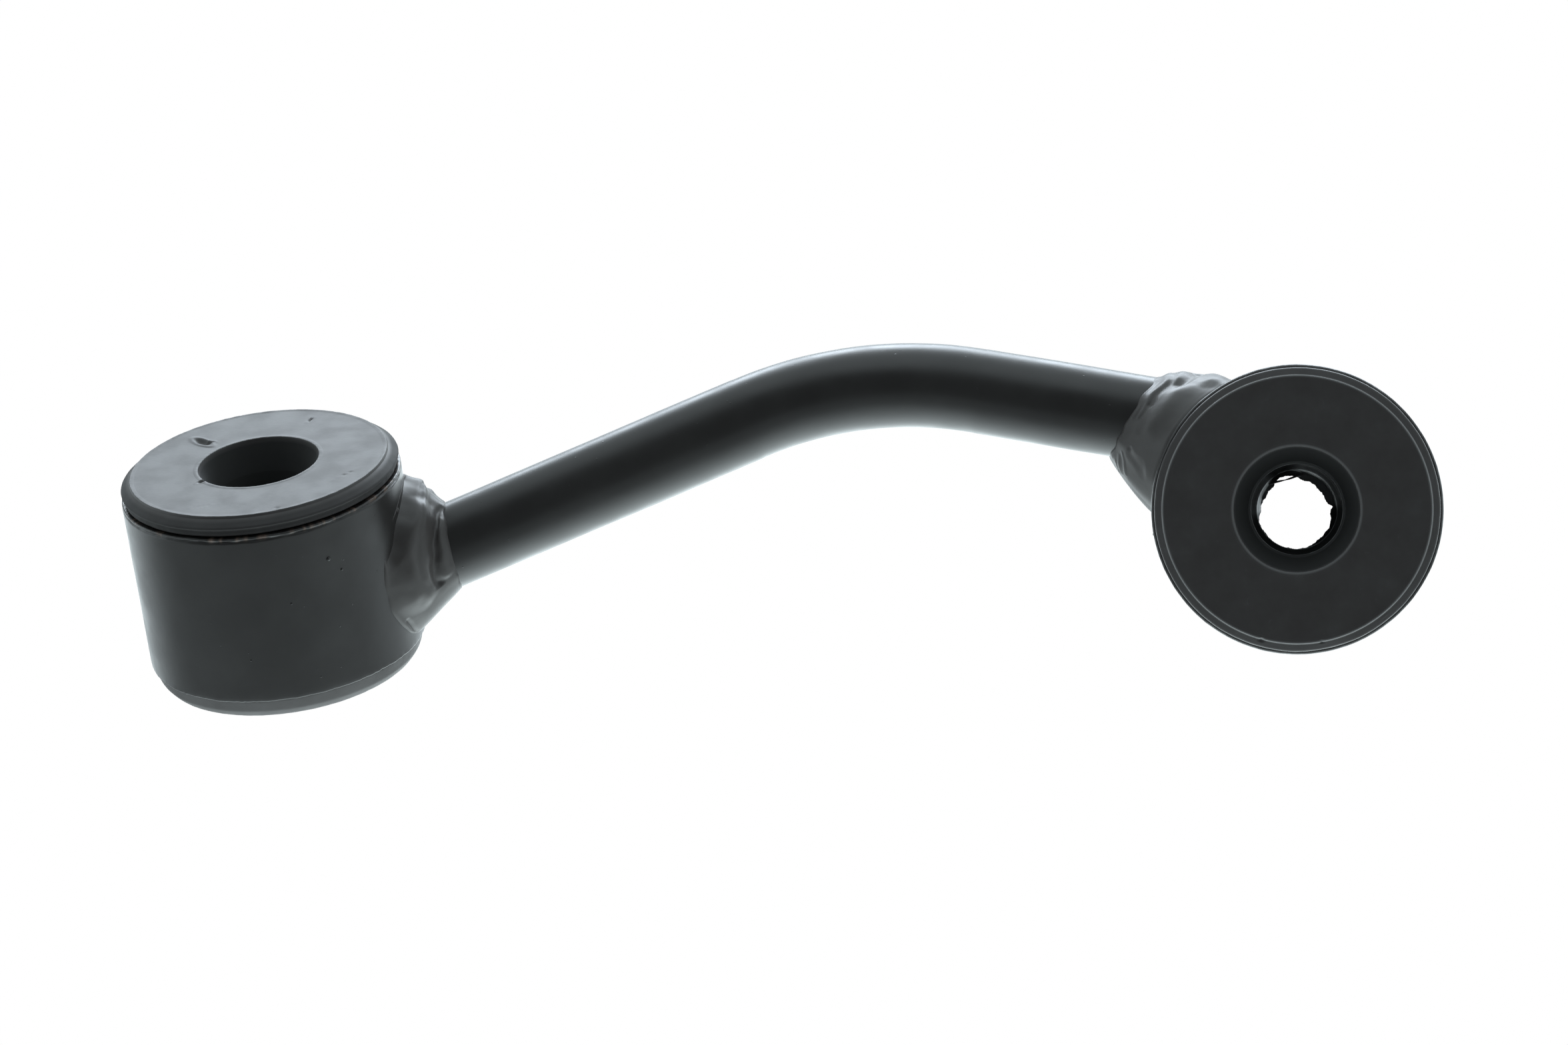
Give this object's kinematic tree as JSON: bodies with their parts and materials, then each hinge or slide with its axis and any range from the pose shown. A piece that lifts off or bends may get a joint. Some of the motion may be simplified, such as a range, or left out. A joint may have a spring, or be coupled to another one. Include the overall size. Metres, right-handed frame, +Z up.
{
  "type": "stabiliser bar link",
  "caption": "Short bent steel rod with a rubber-bushed tube eye welded across each end; it couples an anti-roll bar to a suspension arm.",
  "frame": {"origin": "middle of the right eye, on the axis of its bush's bore", "axes": "+X along the link, from the left eye towards the right eye; +Y along the right eye's bore; +Z up, square to both. The rod's centreline bends in the XZ plane."},
  "size_m": [0.2002, 0.0516, 0.0567],
  "materials": {
    "black_coat": "satin",
    "bush_rubber": "satin"
  },
  "bodies": {
    "link": {"link_rod": "black_coat", "left_eye_ring": "black_coat", "right_eye_ring": "black_coat", "left_weld": "black_coat", "right_weld": "black_coat"},
    "left_bush": {"left_bush": "bush_rubber"},
    "right_bush": {"right_bush": "bush_rubber"}
  },
  "joints": [
    {"name": "left_bush_twist", "type": "hinge", "parent": "link", "child": "left_bush", "pos_m": [-0.15652, -0.00409, -0.00781], "axis": [-0.0561, -0.4213, 0.9052], "range_deg": [-20, 20], "stiffness_Nm_per_rad": 5},
    {"name": "right_bush_twist", "type": "hinge", "parent": "link", "child": "right_bush", "pos_m": [0, 0, 0], "axis": [0, 1, 0], "range_deg": [-20, 20], "stiffness_Nm_per_rad": 5}
  ]
}
